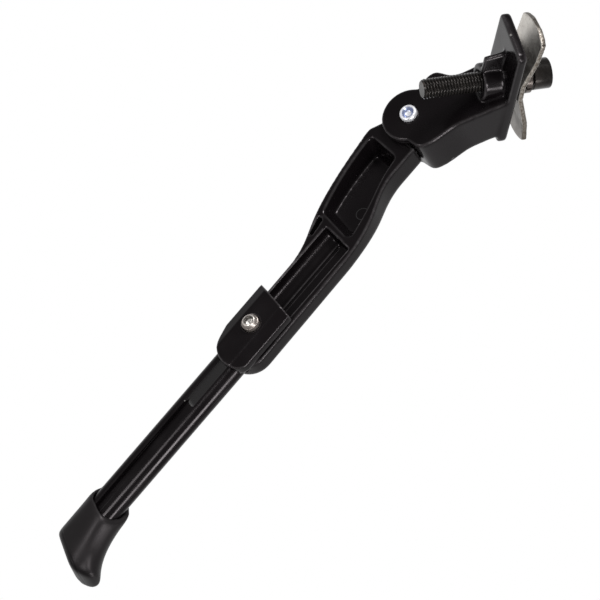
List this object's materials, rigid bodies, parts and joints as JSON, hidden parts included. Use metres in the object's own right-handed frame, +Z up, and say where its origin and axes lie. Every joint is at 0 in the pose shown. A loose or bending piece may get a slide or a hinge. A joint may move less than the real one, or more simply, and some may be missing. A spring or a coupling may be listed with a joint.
{
  "type": "bicycle kickstand",
  "caption": "Black centre-mount bicycle kickstand with a yoke head, folding cast arm, adjustable lower leg, rubber foot, clamp plate and mounting bolt.",
  "frame": {"origin": "on the mounting bolt's axis, at the top face of the head plate", "axes": "+X forward on the bicycle, +Y to the bicycle's left, +Z up along the mounting bolt"},
  "size_m": [0.1779, 0.1825, 0.2621],
  "materials": {
    "black_casting": "satin",
    "black_bar": "satin",
    "black_rubber": "satin",
    "zinc_steel": "satin",
    "black_oxide": "matte",
    "galvanised_sheet": "matte"
  },
  "bodies": {
    "head": {"head_casting": "black_casting", "pivot_rivet": "zinc_steel", "detent_spring": "zinc_steel"},
    "plunger": {"detent_plunger": "zinc_steel"},
    "arm": {"upper_arm": "black_casting", "clamp_cover": "black_casting", "clamp_screw": "zinc_steel", "clamp_nut": "zinc_steel"},
    "lower": {"lower_leg": "black_bar", "foot": "black_rubber"},
    "washer": {"lock_washer": "black_oxide"},
    "bolt": {"mounting_bolt": "black_oxide"},
    "saddle": {"clamp_plate": "galvanised_sheet"}
  },
  "joints": [
    {"name": "leg_swing", "type": "hinge", "parent": "head", "child": "arm", "pos_m": [-0.0047, 0.0241, -0.0449], "axis": [0, 0.866, 0.5], "range_deg": [0, 112]},
    {"name": "leg_height", "type": "slide", "parent": "arm", "child": "lower", "axis": [-0.4863, -0.4369, 0.7567], "range_m": [0, 0.042]},
    {"name": "plunger_push", "type": "slide", "parent": "head", "child": "plunger", "axis": [0, -0.5, 0.866], "range_m": [0, 0.0015], "stiffness_N_per_m": 300, "springref_m": -0.002, "deforming": ["detent_spring"]},
    {"name": "bolt_rise", "type": "slide", "parent": "head", "child": "washer", "axis": [0, 0, 1], "range_m": [0, 0.015]},
    {"name": "bolt_turn", "type": "hinge", "parent": "washer", "child": "bolt", "pos_m": [0, 0, 0], "axis": [0, 0, 1], "range_deg": [-30, 3780]},
    {"name": "plate_turn", "type": "hinge", "parent": "washer", "child": "saddle", "pos_m": [0, 0, 0], "axis": [0, 0, 1], "range_deg": [-45, 45]}
  ],
  "couplings": [
    {"joint": "bolt_turn", "follows": "bolt_rise", "rad_per_m": 4188.8}
  ]
}
